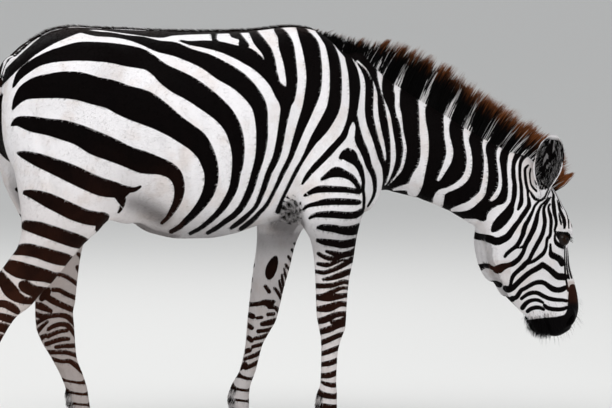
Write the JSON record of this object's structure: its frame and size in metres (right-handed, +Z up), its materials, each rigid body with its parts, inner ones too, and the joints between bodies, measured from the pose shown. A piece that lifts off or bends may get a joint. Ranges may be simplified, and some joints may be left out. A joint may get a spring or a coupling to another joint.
{
  "type": "zebra",
  "caption": "Plains zebra standing with head lowered to graze, striped coat, upright mane and tufted tail, as a still life-size figure.",
  "frame": {"origin": "on the floor, under the middle of the animal's overall box", "axes": "+X towards the head, +Y to the animal's left, +Z up"},
  "size_m": [2.0202, 0.5646, 1.322],
  "materials": {
    "coat": "short flat hair, off-white with near-black brown stripes",
    "mane_hair": "stiff upright hair, black with brown tips and grey-white streaks",
    "horn": "dark hoof horn, dull",
    "eye": "wet dark brown eye"
  },
  "bodies": {
    "root": {"trunk": "coat", "neck": "coat", "head": "coat", "leg_front_right": "coat", "hoof_front_right": "horn", "leg_front_left": "coat", "hoof_front_left": "horn", "leg_hind_right": "coat", "hoof_hind_right": "horn", "leg_hind_left": "coat", "hoof_hind_left": "horn", "ear_right": "coat", "eye_right": "eye", "ear_left": "coat", "eye_left": "eye", "mane": "mane_hair", "tail": "coat", "tail_tuft": "mane_hair"}
  },
  "joints": []
}
